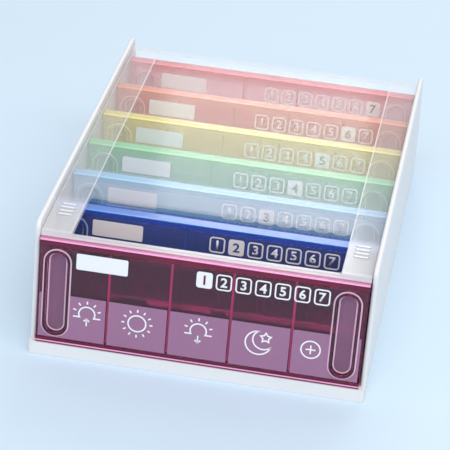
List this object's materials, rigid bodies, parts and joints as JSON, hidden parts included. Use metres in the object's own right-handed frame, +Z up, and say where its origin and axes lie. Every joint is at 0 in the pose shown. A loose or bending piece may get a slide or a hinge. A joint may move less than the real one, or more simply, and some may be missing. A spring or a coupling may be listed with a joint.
{
  "type": "weekly pill box",
  "caption": "Open-fronted white cassette that holds tinted clear day boxes, one behind another, each with half-round compartments and a sliding lid, under a sliding milky cover.",
  "frame": {"origin": "middle of the underside, on the surface that the box stands on", "axes": "+X to the right, seen from the front; +Y to the back, along the row of day boxes; +Z up"},
  "size_m": [0.117, 0.185, 0.05],
  "materials": {
    "white_moulding": "satin",
    "milky_cover": "gloss",
    "tint_aubergine": "gloss",
    "tint_royal_blue": "gloss",
    "tint_light_blue": "gloss",
    "tint_green": "gloss",
    "tint_yellow": "gloss",
    "tint_orange": "gloss",
    "tint_red": "gloss"
  },
  "bodies": {
    "cassette": {"cassette": "white_moulding"},
    "top_cover": {"top_cover": "milky_cover"},
    "day_tray_1": {"day_tray_1": "tint_aubergine"},
    "day_lid_1": {"day_lid_1": "tint_aubergine"},
    "day_tray_2": {"day_tray_2": "tint_royal_blue"},
    "day_lid_2": {"day_lid_2": "tint_royal_blue"},
    "day_tray_3": {"day_tray_3": "tint_light_blue"},
    "day_lid_3": {"day_lid_3": "tint_light_blue"},
    "day_tray_4": {"day_tray_4": "tint_green"},
    "day_lid_4": {"day_lid_4": "tint_green"},
    "day_tray_5": {"day_tray_5": "tint_yellow"},
    "day_lid_5": {"day_lid_5": "tint_yellow"},
    "day_tray_6": {"day_tray_6": "tint_orange"},
    "day_lid_6": {"day_lid_6": "tint_orange"},
    "day_tray_7": {"day_tray_7": "tint_red"},
    "day_lid_7": {"day_lid_7": "tint_red"}
  },
  "joints": [
    {"name": "top_cover_slide", "type": "slide", "parent": "cassette", "child": "top_cover", "axis": [0, 1, 0], "range_m": [0, 0.12]},
    {"name": "day_box_7_slide", "type": "slide", "parent": "cassette", "child": "day_tray_7", "axis": [0, -1, 0], "range_m": [0, 0.026]},
    {"name": "day_box_6_slide", "type": "slide", "parent": "day_tray_7", "child": "day_tray_6", "axis": [0, -1, 0], "range_m": [0, 0.026]},
    {"name": "day_box_5_slide", "type": "slide", "parent": "day_tray_6", "child": "day_tray_5", "axis": [0, -1, 0], "range_m": [0, 0.026]},
    {"name": "day_box_4_slide", "type": "slide", "parent": "day_tray_5", "child": "day_tray_4", "axis": [0, -1, 0], "range_m": [0, 0.026]},
    {"name": "day_box_3_slide", "type": "slide", "parent": "day_tray_4", "child": "day_tray_3", "axis": [0, -1, 0], "range_m": [0, 0.026]},
    {"name": "day_box_2_slide", "type": "slide", "parent": "day_tray_3", "child": "day_tray_2", "axis": [0, -1, 0], "range_m": [0, 0.026]},
    {"name": "day_box_1_slide", "type": "slide", "parent": "day_tray_2", "child": "day_tray_1", "axis": [0, -1, 0], "range_m": [0, 0.04]},
    {"name": "day_lid_1_slide", "type": "slide", "parent": "day_tray_1", "child": "day_lid_1", "axis": [1, 0, 0], "range_m": [-0.0848, 0.0848]},
    {"name": "day_lid_2_slide", "type": "slide", "parent": "day_tray_2", "child": "day_lid_2", "axis": [1, 0, 0], "range_m": [-0.0008, 0.0008]},
    {"name": "day_lid_3_slide", "type": "slide", "parent": "day_tray_3", "child": "day_lid_3", "axis": [1, 0, 0], "range_m": [-0.0008, 0.0008]},
    {"name": "day_lid_4_slide", "type": "slide", "parent": "day_tray_4", "child": "day_lid_4", "axis": [1, 0, 0], "range_m": [-0.0008, 0.0008]},
    {"name": "day_lid_5_slide", "type": "slide", "parent": "day_tray_5", "child": "day_lid_5", "axis": [1, 0, 0], "range_m": [-0.0008, 0.0008]},
    {"name": "day_lid_6_slide", "type": "slide", "parent": "day_tray_6", "child": "day_lid_6", "axis": [1, 0, 0], "range_m": [-0.0008, 0.0008]},
    {"name": "day_lid_7_slide", "type": "slide", "parent": "day_tray_7", "child": "day_lid_7", "axis": [1, 0, 0], "range_m": [-0.0008, 0.0008]}
  ]
}
